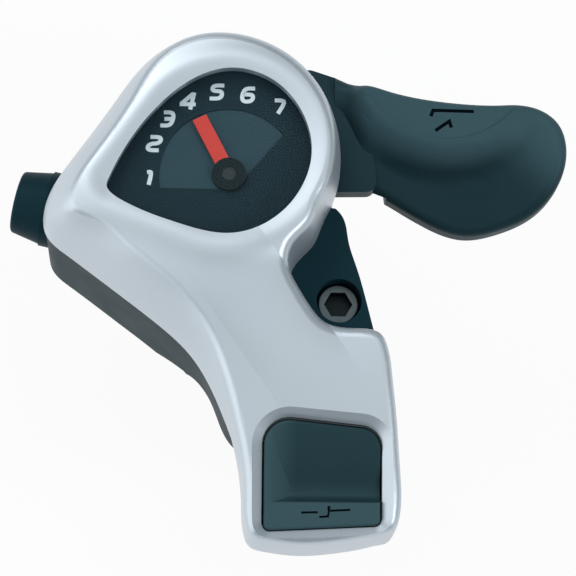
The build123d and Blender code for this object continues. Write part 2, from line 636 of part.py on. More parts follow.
def make_cable_drum():
    """Grooved drum with a long sleeve up through the lever and a pocket for the cable's end."""
    groove_floor = DRUM_GROOVE_RADIUS - CABLE_RADIUS
    drum = post(DIAL_X, DIAL_Y, DRUM_FLANGE_RADIUS, DRUM_Z, DRUM_TOP_Z)
    groove_low = CABLE_Z - GROOVE_WIDTH / 2
    groove_high = CABLE_Z + GROOVE_WIDTH / 2
    drum -= ring(DIAL_X, DIAL_Y, DRUM_FLANGE_RADIUS + 1, groove_floor, groove_low, groove_high)
    drum += prism(key_face(0), DRUM_TOP_Z, WHEEL_TOP_Z)
    drum += post(DIAL_X, DIAL_Y, SLEEVE_RADIUS, DRUM_TOP_Z, SLEEVE_TOP_Z)
    pocket_x, pocket_y = at_dial(DRUM_GROOVE_RADIUS, CABLE_END_ANGLE)
    drum -= post(pocket_x, pocket_y, CABLE_END_RADIUS, groove_low, DRUM_TOP_Z + 1)
    return drum - post(DIAL_X, DIAL_Y, AXLE_RADIUS + RUNNING_FIT, 0, SLEEVE_TOP_Z + 1)


def make_ratchet_wheel():
    """Saw-toothed wheel: each tooth has a steep face and a long ramp."""
    corners = []
    pitch = 360 / WHEEL_TEETH
    for i in range(WHEEL_TEETH):
        corners.append(at_dial(WHEEL_TIP_RADIUS, i * pitch))
        corners.append(at_dial(WHEEL_ROOT_RADIUS, i * pitch + 2))
    wheel = make_face(Polyline(*corners, close=True)) - key_face(RUNNING_FIT)
    return prism(wheel, DRUM_TOP_Z, WHEEL_TOP_Z)


def make_lever_plate():
    """Steel plate under the lever with an ear for the drive pawl's pin."""
    pin = at_dial(DRIVE_PIN_ORBIT, DRIVE_PIN_ANGLE)
    root = Pos(DIAL_X, DIAL_Y) * Circle(PAWL_HUB_RADIUS + 2)
    ear = Pos(*pin) * Circle(PAWL_HUB_RADIUS + 0.5)
    face = Pos(DIAL_X, DIAL_Y) * Circle(LEVER_PLATE_RADIUS) + make_hull(root.edges() + ear.edges())
    plate = prism(face, LEVER_PLATE_Z, LEVER_PLATE_TOP_Z)
    plate -= post(DIAL_X, DIAL_Y, SLEEVE_RADIUS + RUNNING_FIT, 0, 40)
    plate -= post(*pin, PAWL_PIN_RADIUS, 0, 40)
    for x, y in peg_places():
        plate -= post(x, y, PEG_RADIUS + RUNNING_FIT, 0, 40)
    return plate


def peg_places():
    """Where the lever's two driving pegs enter the plate."""
    return [at_dial(PEG_ORBIT, 0), at_dial(PEG_ORBIT, 180)]


def ease(share):
    """Smooth step from 0 to 1."""
    share = min(1.0, max(0.0, share))
    return share * share * (3 - 2 * share)


def thumb_height(x, y):
    """Height of the paddle's thumb face: falling sheet, half-moon step flared into it, lowered root."""
    bend = VALLEY_TO_TIP if x > VALLEY_X else VALLEY_TO_ROOT
    sheet = SHEET_Z + bend * (x - VALLEY_X) ** 2 + (y - SHEET_Y) * math.tan(math.radians(SHEET_FALL))
    reach = math.hypot(x - STEP_CENTRE[0], y - STEP_CENTRE[1])
    step_share = ease((STEP_RADIUS + STEP_FLARE - reach) / STEP_FLARE)
    height = sheet + max(0.0, STEP_TOP_Z - sheet) * step_share
    return height - ROOT_DROP * (1 - ease((x - ROOT_X) / ROOT_LENGTH))


def make_paddle():
    """Saddle-shaped paddle: the thumb face given a thickness and trimmed to its plan, lips rounded."""
    pitch = 2.0
    x_low, x_count = -2, 29
    y_low, y_count = 34, 21
    stations = [x_low + pitch * i for i in range(x_count)]
    rows = [y_low + pitch * j for j in range(y_count)]
    grid = [[Vector(x, y, thumb_height(x, y)) for y in rows] for x in stations]
    sheet = Face.make_surface_from_array_of_points(grid, tol=0.02)
    outline = make_face([Spline(*PADDLE_OUTLINE), Line(PADDLE_OUTLINE[-1], PADDLE_OUTLINE[0])])
    paddle = Part() + Solid.extrude(sheet, Vector(0, 0, -PADDLE_THICKNESS))
    paddle = paddle & prism(outline, 0, ROOF_Z)
    paddle = fillet(paddle.edges().sort_by(SortBy.LENGTH)[-2:], LIP_FILLET)
    paddle -= post(*STEP_CENTRE, STEP_RADIUS, STEP_TOP_Z - SHELF_SINK, ROOF_Z)
    paddle -= post(DIAL_X, DIAL_Y, SLOT_CLEAR_RADIUS, 0, LEVER_Z)
    return paddle - post(DIAL_X, DIAL_Y, SLOT_CLEAR_RADIUS, LEVER_TOP_Z, ROOF_Z)


def make_thumb_lever():
    """Moulded lever: hub on the drum's sleeve, flat arm through the slot and the shaped paddle."""
    arm = make_face(Polyline(
        at_dial(12.5, -10), (2, 45.8), (10.4, 46), (10.4, 50), (8, 68), (2, 70.7), (-4, 72.7), (-9, 68.4),
        at_dial(12, 130), close=True,
    ))
    arm = fillet(arm.vertices().sort_by_distance((-6.5, 70.5))[:2], 3)
    arm = fillet(arm.vertices().sort_by_distance((10.4, 46))[:1], 2)
    lever = prism(arm, LEVER_Z, ARM_TOP_Z)
    lever += post(DIAL_X, DIAL_Y, LEVER_HUB_RADIUS, LEVER_Z, LEVER_TOP_Z)
    lever += make_paddle()
    lever += post(DIAL_X, DIAL_Y, LEVER_PLATE_RADIUS, LEVER_PLATE_TOP_Z, LEVER_Z)
    for x, y in peg_places():
        lever += post(x, y, PEG_RADIUS, LEVER_PLATE_Z, LEVER_Z)
    lever -= post(DIAL_X, DIAL_Y, SLEEVE_RADIUS + RUNNING_FIT, 0, ROOF_Z)
    margin = RETURN_COIL_WIRE + SEAT_GAP
    groove_outer = RETURN_COIL_RADIUS + margin
    groove_inner = RETURN_COIL_RADIUS - margin
    return lever - ring(DIAL_X, DIAL_Y, groove_outer, groove_inner, coil_floor(), LEVER_TOP_Z + 1)


def coil_floor():
    """Bottom of the lever's groove for its return spring."""
    return LEVER_TOP_Z - RETURN_COIL_PITCH * RETURN_COIL_TURNS - 2 * RETURN_COIL_WIRE


def make_lever_return_spring():
    """Torsion coil in the lever's groove."""
    return Pos(DIAL_X, DIAL_Y, coil_floor() + RETURN_COIL_WIRE + RUNNING_FIT) * coil(
        RETURN_COIL_RADIUS, RETURN_COIL_WIRE, RETURN_COIL_TURNS, RETURN_COIL_PITCH
    )


def pawl_face(pin, nose_angle):
    """Pawl in plan: round hub tapering to a nose that stands just off the wheel's tips."""
    tip = WHEEL_TIP_RADIUS + PAWL_TIP_GAP
    hub = Pos(*pin) * Circle(PAWL_HUB_RADIUS)
    nose = Pos(*at_dial(tip + PAWL_NOSE_RADIUS, nose_angle)) * Circle(PAWL_NOSE_RADIUS)
    return make_hull(hub.edges() + nose.edges())


def make_drive_pawl():
    """Pawl on the lever plate that pushes the wheel round."""
    pin = at_dial(DRIVE_PIN_ORBIT, DRIVE_PIN_ANGLE)
    pawl = prism(pawl_face(pin, DRIVE_PIN_ANGLE + DRIVE_NOSE_STEP), PAWL_Z, PAWL_Z + PAWL_THICKNESS)
    pawl -= post(DIAL_X, DIAL_Y, WHEEL_TIP_RADIUS + PAWL_TIP_GAP, 0, 30)
    return pawl - post(*pin, PAWL_PIN_RADIUS + RUNNING_FIT, 0, 30)


def make_drive_pawl_pin():
    """Headed pin riveted into the lever plate."""
    pin = at_dial(DRIVE_PIN_ORBIT, DRIVE_PIN_ANGLE)
    shank = post(*pin, PAWL_PIN_RADIUS, PAWL_Z - 4, LEVER_PLATE_TOP_Z)
    return shank + post(*pin, PAWL_HUB_RADIUS, PAWL_Z - 4.8, PAWL_Z - 4)


def make_drive_pawl_spring():
    """Small coil on the pin under the drive pawl."""
    pin = at_dial(DRIVE_PIN_ORBIT, DRIVE_PIN_ANGLE)
    radius = PAWL_PIN_RADIUS + DRIVE_COIL_GAP + DRIVE_COIL_WIRE
    return Pos(*pin, PAWL_Z - 3.5) * coil(radius, DRIVE_COIL_WIRE, DRIVE_COIL_TURNS, DRIVE_COIL_PITCH)


def make_hold_pawl():
    """Pawl that holds the wheel, on a tall hub with the crank whose peg carries the link."""
    pin = (HOLD_PIN_X, HOLD_PIN_Y)
    crank_z = LINK_Z + LINK_THICKNESS + SEAT_GAP
    pawl = prism(pawl_face(pin, HOLD_NOSE_ANGLE), PAWL_Z, PAWL_Z + PAWL_THICKNESS)
    pawl -= post(DIAL_X, DIAL_Y, WHEEL_TIP_RADIUS + PAWL_TIP_GAP, 0, 30)
    pawl += post(*pin, HOLD_HUB_RADIUS, PAWL_Z, crank_z + CRANK_THICKNESS)
    crank = Pos(HOLD_PIN_X + CRANK_ARM / 2, HOLD_PIN_Y) * SlotCenterToCenter(CRANK_ARM, CRANK_WIDTH)
    pawl += prism(crank, crank_z, crank_z + CRANK_THICKNESS)
    pawl += post(LINK_X, HOLD_PIN_Y, CRANK_PEG_RADIUS, LINK_Z, crank_z + CRANK_THICKNESS)
    return pawl - post(*pin, PAWL_PIN_RADIUS + RUNNING_FIT, 0, 40)


def make_hold_pawl_pin():
    """Pin that stands in the base."""
    return post(HOLD_PIN_X, HOLD_PIN_Y, PAWL_PIN_RADIUS, EAR_TOP_Z + 1, PARTING_Z + CRANK_THICKNESS)


def make_hold_pawl_spring():
    """Coil round the hold pawl's hub."""
    radius = HOLD_HUB_RADIUS + HOLD_COIL_GAP + HOLD_COIL_WIRE
    spring = coil(radius, HOLD_COIL_WIRE, HOLD_COIL_TURNS, HOLD_COIL_PITCH)
    return Pos(HOLD_PIN_X, HOLD_PIN_Y, PAWL_Z + PAWL_THICKNESS + 1) * spring


def make_release_link():
    """Strip hung on the crank's peg that the button's tongue pushes."""
    nose_y = HOLD_PIN_Y + LINK_WIDTH / 2
    tail_y = BUTTON_PIN_Y + TONGUE_FRONT + SEAT_GAP
    length = nose_y - tail_y
    strip = Pos(LINK_X, tail_y + length / 2) * Rot(0, 0, 90) * SlotOverall(length, LINK_WIDTH)
    link = prism(strip, LINK_Z, LINK_Z + LINK_THICKNESS)
    return link - post(LINK_X, HOLD_PIN_Y, CRANK_PEG_RADIUS + RUNNING_FIT, 0, ROOF_Z)


def make_release_button():
    """Moulded button: thumb scoop behind a left rim, ledge at the rider's end, hinge bore and a tongue."""

    def top(y, depth):
        return (0, y, roof_height(y) - BUTTON_SINK - depth)

    floor_z = BUTTON_PIN_Z - 2 * BUTTON_PIN_RADIUS
    front = BUTTON_FRONT + 1
    rear = BUTTON_REAR - 1
    side = Polyline(top(front, 0), top(rear, 0), (0, rear, floor_z - 3), (0, BUTTON_PIN_Y - 3, floor_z),
                    (0, front, floor_z), close=True)
    body = extrude(make_face(side), amount=40, both=True, dir=(1, 0, 0)) & prism(button_face(0, 0), 0, 60)
    body = fillet(body.faces().sort_by(Axis.Z)[-1].edges(), BUTTON_EDGE)
    ledge_y = BUTTON_REAR + BUTTON_LEDGE
    middle_y = (BUTTON_PIN_Y + ledge_y) / 2
    floor = Spline(
        top(front, 0), top(BUTTON_PIN_Y, 0.25 * SCOOP_DEPTH), top(middle_y, 0.8 * SCOOP_DEPTH),
        top(ledge_y + SCOOP_DEPTH, SCOOP_DEPTH), top(ledge_y, 0),
    )
    lid = Polyline(floor @ 1, top(ledge_y, -5), top(front, -5), floor @ 0)
    scoop = extrude(make_face([floor, lid]), amount=40, both=True, dir=(1, 0, 0))
    reach = BUTTON_RIGHT - BUTTON_LEFT
    flank_fall = reach * math.tan(math.radians(SCOOP_FLANK))
    rim_x = BUTTON_LEFT + BUTTON_RIM
    flank = make_face(Polyline(
        (rim_x, 0, 0), (rim_x + reach, 0, -flank_fall), (rim_x + reach, 0, reach), (rim_x, 0, reach),
        close=True,
    ))
    lean = Pos(top(BUTTON_PIN_Y, 0)) * Rot(ROOF_SLOPE, 0, 0)
    body -= scoop & lean * extrude(flank, amount=40, both=True, dir=(0, 1, 0))
    under = roof_height(BUTTON_REAR) - BUTTON_SINK - SCOOP_DEPTH - BUTTON_WALL
    hollow = prism(button_face(-BUTTON_WALL, 0), 0, under)
    body -= hollow & block(-40, 40, BUTTON_REAR, BUTTON_PIN_Y - 4, 0, 60)
    tongue_x = BUTTON_LEFT + SEAT_GAP
    tongue_rear = BUTTON_PIN_Y - TONGUE_REAR
    tongue_front = BUTTON_PIN_Y + TONGUE_FRONT
    body += block(tongue_x, tongue_x + TONGUE_WIDTH, tongue_rear, tongue_front, LINK_Z, floor_z + 1)
    margin = BUTTON_COIL_WIRE + SEAT_GAP
    slot = BUTTON_COIL_RADIUS + margin
    slot_left = BUTTON_COIL_X - margin
    slot_right = BUTTON_COIL_X + BUTTON_COIL_TURNS * BUTTON_COIL_PITCH + margin
    body -= block(slot_left, slot_right, BUTTON_PIN_Y - slot, BUTTON_PIN_Y + slot, 0, BUTTON_PIN_Z)
    body -= across(BUTTON_PIN_Y, BUTTON_PIN_Z, slot, slot_left, slot_right)
    return body - across(BUTTON_PIN_Y, BUTTON_PIN_Z, BUTTON_PIN_RADIUS + RUNNING_FIT, -40, 40)


def make_release_button_pin():
    """Hinge pin held in the cover's two lugs."""
    return across(BUTTON_PIN_Y, BUTTON_PIN_Z, BUTTON_PIN_RADIUS, *button_pin_ends())


def make_release_button_spring():
    """Torsion coil on the hinge pin in the button's slot."""
    spring = coil(BUTTON_COIL_RADIUS, BUTTON_COIL_WIRE, BUTTON_COIL_TURNS, BUTTON_COIL_PITCH)
    return Pos(BUTTON_COIL_X, BUTTON_PIN_Y, BUTTON_PIN_Z) * Rot(0, 90, 0) * spring


def make_block_plate():
    """Plate snapped into the underside of the button block, following the skirt up and under the link."""
    lean = COVER_LEANS[0][1]
    rise = (PLATE_TURN_Y - SKIRT_END_Y) * (PARTING_Z - SKIRT_Z) / (SKIRT_START_Y - SKIRT_END_Y)
    end_z = SKIRT_Z + rise
    low = [(0, -60, SKIRT_Z), (0, SKIRT_END_Y, SKIRT_Z), (0, PLATE_TURN_Y, end_z), (0, PLATE_END_Y, end_z)]
    high = [(0, y, z + PLATE_THICKNESS) for _, y, z in reversed(low)]
    plate = extrude(make_face(Polyline(*low, *high, close=True)), amount=60, both=True, dir=(1, 0, 0))
    return plate & prism(smooth_face(cover_outline(lean, WALL + PLATE_FIT)), 0, ROOF_Z)


def make_cable_stop():
    """Tapered nose on a spigot in the base's wall, bored for the casing and the cable."""
    end = STOP_SEAT + STOP_NOSE
    root_circle = cable_plane(STOP_SEAT) * Circle(STOP_ROOT_RADIUS)
    nose = loft([root_circle, cable_plane(end) * Circle(STOP_END_RADIUS)])
    nose = fillet(nose.edges().sort_by(Axis.X)[:1], 0.8)
    nose += along_cable(STOP_SPIGOT_RADIUS, STOP_SEAT - STOP_SPIGOT_LENGTH, STOP_SEAT)
    nose -= along_cable(CASING_RADIUS, end - CASING_DEPTH, end + 1)
    return nose - along_cable(2 * CABLE_RADIUS, STOP_SEAT - STOP_SPIGOT_LENGTH - 1, end)


def make_cover_screws():
    """Three pan-head screws from below, as separate solids."""
    screws = []
    for x, y in COVER_SCREWS:
        screw = post(x, y, SCREW_HEAD_RADIUS, SCREW_SEAT_Z - SCREW_HEAD_HEIGHT, SCREW_SEAT_Z)
        screws.append(screw + post(x, y, SCREW_RADIUS, SCREW_SEAT_Z, SCREW_TIP_Z))
    return Compound(children=screws)


NODES = {
    "top_cover": make_top_cover,
    "base_housing": make_base_housing,
    "clamp_band": make_clamp_band,
    "clamp_bolt": make_clamp_bolt,
    "clamp_nut": make_clamp_nut,
    "dial_lens": make_dial_lens,
    "dial_plate": make_dial_plate,
    "indicator_needle": make_indicator_needle,
    "needle_spindle": make_needle_spindle,
    "main_axle": make_main_axle,
    "axle_circlip": make_axle_circlip,
    "axle_nut": make_axle_nut,
    "thrust_washer": make_thrust_washer,
    "top_washer": make_top_washer,
    "cable_drum": make_cable_drum,
    "ratchet_wheel": make_ratchet_wheel,
    "lever_plate": make_lever_plate,
    "thumb_lever": make_thumb_lever,
    "lever_return_spring": make_lever_return_spring,
    "drive_pawl": make_drive_pawl,
    "drive_pawl_pin": make_drive_pawl_pin,
    "drive_pawl_spring": make_drive_pawl_spring,
    "hold_pawl": make_hold_pawl,
    "hold_pawl_pin": make_hold_pawl_pin,
    "hold_pawl_spring": make_hold_pawl_spring,
    "release_link": make_release_link,
    "release_button": make_release_button,
    "release_button_pin": make_release_button_pin,
    "release_button_spring": make_release_button_spring,
    "block_plate": make_block_plate,
    "cable_stop": make_cable_stop,
    "cover_screws": make_cover_screws,
}

if __name__ == "__main__":
    os.makedirs("parts", exist_ok=True)
    for name, make in NODES.items():
        export_step(make(), f"parts/{name}.step")
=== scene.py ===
import bpy
import math
import numpy as np
from mathutils import Matrix, Vector


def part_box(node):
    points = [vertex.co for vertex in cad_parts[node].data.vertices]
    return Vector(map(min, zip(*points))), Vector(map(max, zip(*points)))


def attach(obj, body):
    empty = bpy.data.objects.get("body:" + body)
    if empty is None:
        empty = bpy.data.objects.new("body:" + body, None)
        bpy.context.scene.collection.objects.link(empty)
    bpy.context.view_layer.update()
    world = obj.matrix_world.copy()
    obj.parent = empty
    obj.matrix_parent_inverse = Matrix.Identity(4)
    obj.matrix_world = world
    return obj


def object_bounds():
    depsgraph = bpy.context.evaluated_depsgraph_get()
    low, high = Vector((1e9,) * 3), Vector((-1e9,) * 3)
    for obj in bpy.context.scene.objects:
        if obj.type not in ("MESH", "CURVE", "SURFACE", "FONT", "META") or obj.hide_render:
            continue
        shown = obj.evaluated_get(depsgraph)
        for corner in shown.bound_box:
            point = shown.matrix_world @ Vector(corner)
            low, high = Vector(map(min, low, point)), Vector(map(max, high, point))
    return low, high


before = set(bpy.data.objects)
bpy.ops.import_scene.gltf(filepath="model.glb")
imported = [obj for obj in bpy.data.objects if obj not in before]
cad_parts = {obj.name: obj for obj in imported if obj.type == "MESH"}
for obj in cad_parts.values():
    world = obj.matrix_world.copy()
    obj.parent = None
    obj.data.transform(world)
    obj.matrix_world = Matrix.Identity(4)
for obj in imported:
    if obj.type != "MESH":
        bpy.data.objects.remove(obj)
cad_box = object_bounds()

# Clamp band, bolt and nut. A split band of bent steel strip, stove-enamelled black, is drawn shut round
# the handlebar by one zinc-plated cap bolt whose head sits in a counterbore beside the neck. Below the
# head's rim the plating is painted near black, as the socket is in the photo: painted shade in the socket.


class Wire:
    """An output socket in a material's node tree; arithmetic on it adds Math nodes."""

    def __init__(self, tree, socket):
        self.tree = tree
        self.socket = socket

    def node(self, kind, inputs, settings=None, output=0):
        """Any node of the tree: its settings first, then the values or wires of its sockets."""
        made = self.tree.nodes.new(kind)
        for name, value in (settings or {}).items():
            setattr(made, name, value)
        for name, value in inputs.items():
            if isinstance(value, Wire):
                self.tree.links.new(value.socket, made.inputs[name])
            else:
                made.inputs[name].default_value = value
        return Wire(self.tree, made.outputs[output])

    def math(self, operation, first, second=0.0):
        """A Math node on two values or wires."""
        return self.node("ShaderNodeMath", {0: first, 1: second}, {"operation": operation})

    def __add__(self, other):
        return self.math("ADD", self, other)

    def __radd__(self, other):
        return self.math("ADD", other, self)

    def __sub__(self, other):
        return self.math("SUBTRACT", self, other)

    def __rsub__(self, other):
        return self.math("SUBTRACT", other, self)

    def __mul__(self, other):
        return self.math("MULTIPLY", self, other)

    def __rmul__(self, other):
        return self.math("MULTIPLY", other, self)

    def __gt__(self, other):
        return self.math("GREATER_THAN", self, other)

    def __lt__(self, other):
        return self.math("LESS_THAN", self, other)

    def hypot(self, other):
        """sqrt(a * a + b * b) of this value and another."""
        return self.math("SQRT", self * self + other * other)

    def bell(self, middle, spread):
        """exp(-u * u) with u this value's distance from the middle in spreads."""
        u = (self - middle) * (1 / spread)
        return self.math("EXPONENT", -1.0 * u * u)

    def climb(self, low, high, course="LINEAR"):
        """0 below the low value, 1 above the high one, and a linear or other course between them."""
        inputs = {"Value": self, "From Min": low, "From Max": high}
        return self.node("ShaderNodeMapRange", inputs, {"interpolation_type": course})

    def split(self):
        """x, y and z of these coordinates."""
        parts = self.node("ShaderNodeSeparateXYZ", {"Vector": self}).socket.node
        return [Wire(self.tree, output) for output in parts.outputs]

    def noise(self, scale, detail=3.0):
        """Fractal noise over these coordinates, 0 to 1."""
        return self.node("ShaderNodeTexNoise", {"Vector": self, "Scale": scale, "Detail": detail})

    def between(self, low, high):
        """Mix of two colours or wires: the first where this value is 0, the second where it is 1."""
        first, second = [end if isinstance(end, Wire) else (*end, 1.0) for end in (low, high)]
        inputs = {"Factor": self, 6: first, 7: second}
        return self.node("ShaderNodeMix", inputs, {"data_type": "RGBA"}, output=2)

    def bump(self, strength, distance, over=None):
        """Normal that treats this value as a height, on top of another normal where one is given."""
        inputs = {"Height": self, "Strength": strength, "Distance": distance}
        if over is not None:
            inputs["Normal"] = over
        return self.node("ShaderNodeBump", inputs)


def new_finish(name, **constants):
    """A Principled material with its fixed sockets set; returns it, its shader and its Object coordinates."""
    material = bpy.data.materials.new(name)
    material.use_nodes = True
    tree = material.node_tree
    shader = tree.nodes["Principled BSDF"]
    for socket, value in constants.items():
        shader.inputs[socket.replace("_", " ")].default_value = value
    place = Wire(tree, tree.nodes.new("ShaderNodeTexCoord").outputs["Object"])
    return material, shader, place


def feed(shader, socket, wire):
    """Links a wire to a socket of the shader."""
    wire.tree.links.new(wire.socket, shader.inputs[socket])


def wear(material, *nodes):
    """Puts a material on CAD nodes."""
    for node in nodes:
        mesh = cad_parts[node].data
        mesh.materials.clear()
        mesh.materials.append(material)


enamel, shader, place = new_finish("black_enamel", Roughness=0.4, Coat_Weight=0.2)
mottle = place.noise(220.0)
feed(shader, "Base Color", mottle.between((0.012, 0.016, 0.018), (0.03, 0.036, 0.04)))
feed(shader, "Normal", place.noise(1800.0).bump(0.12, 0.0002))
wear(enamel, "clamp_band", "release_button_pin")

RIM_HEIGHT = 0.001
plated, shader, place = new_finish("plated_steel", Metallic=0.9)
grain = place.noise(900.0)
height = place.split()[2]
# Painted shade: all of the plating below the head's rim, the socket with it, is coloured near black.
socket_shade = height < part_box("clamp_bolt")[1][2] - RIM_HEIGHT
zinc = grain.between((0.075, 0.1, 0.11), (0.13, 0.16, 0.17))
feed(shader, "Base Color", socket_shade.between(zinc, (0.014, 0.02, 0.022)))
feed(shader, "Roughness", 0.3 + 0.25 * place.noise(160.0))
feed(shader, "Normal", grain.bump(0.1, 0.0002))
wear(plated, "clamp_bolt", "clamp_nut")

# Base housing, block plate and cable stop. Injection-moulded black plastic with a fine spark-eroded texture,
# deep under the dome and saddled over the bar; the stop's nose takes the end of the cable casing.
COOL_SHEEN = (0.5, 0.85, 1.0, 1.0)
moulded, shader, place = new_finish("moulded_black", Specular_IOR_Level=0.1, Specular_Tint=COOL_SHEEN)
cloud = place.noise(45.0)
feed(shader, "Base Color", cloud.between((0.004, 0.023, 0.032), (0.008, 0.03, 0.04)))
feed(shader, "Roughness", 0.42 + 0.16 * place.noise(120.0))
feed(shader, "Normal", place.noise(2600.0).bump(0.18, 0.0002))
wear(moulded, "base_housing", "block_plate", "cable_stop")

# Axle stack, ratchet, pawls and their springs. Turned and stamped steel, out of sight under the cover,
# with a sheen of grease over the machining marks.
turned, shader, place = new_finish("turned_steel", Metallic=1.0)
marks = place.noise(1400.0)
feed(shader, "Base Color", marks.between((0.42, 0.43, 0.44), (0.58, 0.59, 0.6)))
feed(shader, "Roughness", 0.28 + 0.2 * place.noise(200.0))
feed(shader, "Normal", marks.bump(0.08, 0.0002))
wear(turned, "main_axle", "axle_nut", "thrust_washer", "top_washer", "ratchet_wheel", "lever_plate",
     "drive_pawl", "drive_pawl_pin", "hold_pawl", "hold_pawl_pin", "release_link", "cover_screws")

wire_steel, shader, place = new_finish("spring_wire", Metallic=1.0)
drawn = place.noise(2000.0)
feed(shader, "Base Color", drawn.between((0.28, 0.29, 0.31), (0.42, 0.43, 0.45)))
feed(shader, "Roughness", 0.3 + 0.15 * drawn)
wear(wire_steel, "axle_circlip", "lever_return_spring", "drive_pawl_spring", "hold_pawl_spring",
     "release_button_spring")

# Cable drum and needle spindle. Natural acetal mouldings, ivory white and slightly waxy. The spindle's end,
# which shows in the needle's hub, is inked black.
SPINDLE_INK_Z = 0.0342
BLACK_INK = (0.006, 0.014, 0.017)
acetal, shader, place = new_finish("ivory_acetal", Subsurface_Weight=0.1, Subsurface_Scale=0.002)
ivory = place.noise(90.0).between((0.66, 0.65, 0.6), (0.75, 0.74, 0.69))
height = place.split()[2]
feed(shader, "Base Color", (height > SPINDLE_INK_Z).between(ivory, BLACK_INK))
feed(shader, "Roughness", 0.38 + 0.12 * place.noise(300.0))
wear(acetal, "cable_drum", "needle_spindle")

# Thumb lever. Black glass-filled nylon, a shade greyer than the base, with a satin moulding grain. Its
# colour is painted grey on the high step and tip and dark in the low saddle: painted light and shade by
# height.
SADDLE_Z = 0.019
PAINTED_LIGHT_Z = 0.0238
nylon, shader, place = new_finish("satin_nylon", Specular_IOR_Level=0.2, Specular_Tint=COOL_SHEEN)
cloud = place.noise(60.0)
# Painted light and shade: 0 at the saddle's height, where the colour is darkest, 1 at the step's, where it is
# grey.
painted_light = place.split()[2].climb(SADDLE_Z, PAINTED_LIGHT_Z, "SMOOTHSTEP")
painted_shade = cloud.between((0.007, 0.025, 0.031), (0.012, 0.032, 0.039))
lit_grey = cloud.between((0.036, 0.078, 0.094), (0.043, 0.087, 0.104))
feed(shader, "Base Color", painted_light.between(painted_shade, lit_grey))
feed(shader, "Roughness", 0.38 + 0.14 * place.noise(150.0) + 0.08 * painted_light)
feed(shader, "Normal", place.noise(3200.0).bump(0.16, 0.0002))
wear(nylon, "thumb_lever")

# Dial plate. A black printed tray under the lens; the gear sector is a lighter grey panel sunk in it.
DIAL = Vector((-0.0202, 0.0444, 0.034))
SECTOR_DEPTH = 0.0003
printed, shader, place = new_finish("printed_dial", Roughness=0.6, Specular_IOR_Level=0.1)
sunk = place.split()[2] < DIAL.z - SECTOR_DEPTH / 2
speckle = place.noise(500.0)
field = speckle.between((0.01, 0.025, 0.034), (0.013, 0.03, 0.04))
panel = speckle.between((0.032, 0.066, 0.082), (0.037, 0.072, 0.089))
feed(shader, "Base Color", sunk.between(field, panel))
wear(printed, "dial_plate")

# Gear numerals. Light grey ink printed on the tray round the sector: square, heavy strokes with rounded
# corners, slanted to the right. Each has its centre and its strokes in millimetres, and each stroke lies
# one layer above the last, so that crossing strokes don't share a plane.
STROKE_WIDTH = 0.00082
INK_THICKNESS = 0.00003
INK_LAYER = 0.00002
SLANT = 0.22
NUMERALS = {
    "1": ((-35.95, 43.5), [[(-0.75, 1.2), (0.15, 1.4), (0.15, -1.4)]]),
    "2": ((-35.1, 50.75), [[(-1.1, 1.4), (1.1, 1.4), (1.1, 0.1), (-1.1, -0.1), (-1.1, -1.4), (1.2, -1.4)]]),
    "3": ((-32.55, 56.0), [[(-1.05, 1.4), (1.1, 1.4), (1.1, -1.4), (-1.1, -1.4)],
                           [(-0.6, 0.0), (1.0, 0.0)]]),
    "4": ((-28.29, 59.88), [[(0.5, 1.6), (-1.4, -0.6)],
                            [(-1.7, -0.7), (1.5, -0.7)],
                            [(0.65, 1.8), (0.65, -1.8)]]),
    "5": ((-22.69, 61.9), [[(1.15, 1.4), (-1.05, 1.4), (-1.05, 0.2), (1.1, 0.2), (1.1, -1.4),
                            (-1.15, -1.4)]]),
    "6": ((-16.46, 61.38), [[(1.1, 1.4), (-1.1, 1.4), (-1.1, -1.4), (1.1, -1.4), (1.1, 0.1), (-0.8, 0.1)]]),
    "7": ((-10.23, 58.94), [[(-1.15, 1.4), (1.15, 1.4), (0.1, -1.4)]]),
}
ink, shader, place = new_finish("numeral_ink", Roughness=0.55)
feed(shader, "Base Color", place.noise(800.0).between((0.7, 0.75, 0.77), (0.8, 0.84, 0.86)))


def rounded_path(points, cuts):
    """Corner cutting: each pass replaces a run's inner ends by points a quarter of the run from them."""
    path = np.asarray(points, float)
    for _ in range(cuts):
        near = 0.75 * path[:-1] + 0.25 * path[1:]
        far = 0.25 * path[:-1] + 0.75 * path[1:]
        inner = np.stack([near, far], axis=1).reshape(-1, path.shape[1])
        path = np.concatenate([path[:1], inner[1:-1], path[-1:]])
    return path


def carried_strip(path, width, thickness):
    """A flat bar carried along a path on a surface: at each point the bar's half width goes out along the
    mitre of the runs that meet there, and its top stands one thickness above the path."""
    runs = np.diff(path[:, :2], axis=0)
    runs /= np.linalg.norm(runs, axis=1, keepdims=True)
    left = np.stack([-runs[:, 1], runs[:, 0]], axis=1)
    before = np.concatenate([left[:1], left])
    after = np.concatenate([left, left[-1:]])
    mitre = (before + after) / (1 + np.sum(before * after, axis=1, keepdims=True))
    out = np.concatenate([mitre * width / 2, np.zeros((len(path), 1))], axis=1)
    lift = np.array([0.0, 0.0, thickness])
    ring = np.stack([path - out, path + out, path + out + lift, path - out + lift], axis=1)
    count = len(path)
    start = 4 * np.arange(count - 1)[:, None]
    here = start + np.arange(4)[None, :]
    following = start + (np.arange(4)[None, :] + 1) % 4
    sides = np.stack([here, here + 4, following + 4, following], axis=2).reshape(-1, 4)
    caps = np.array([[0, 1, 2, 3], [4 * count - 1, 4 * count - 2, 4 * count - 3, 4 * count - 4]])
    return ring.reshape(-1, 3), np.concatenate([sides, caps])


def joined_piece(name, strips, material, body):
    """One mesh object from several strips, riding on a body."""
    verts = np.concatenate([v for v, _ in strips])
    starts = np.cumsum([0] + [len(v) for v, _ in strips[:-1]])
    faces = np.concatenate([f + start for (_, f), start in zip(strips, starts)])
    mesh = bpy.data.meshes.new(name)
    mesh.from_pydata(verts.tolist(), [], faces.tolist())
    mesh.materials.append(material)
    piece = bpy.data.objects.new(name, mesh)
    bpy.context.scene.collection.objects.link(piece)
    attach(piece, body)


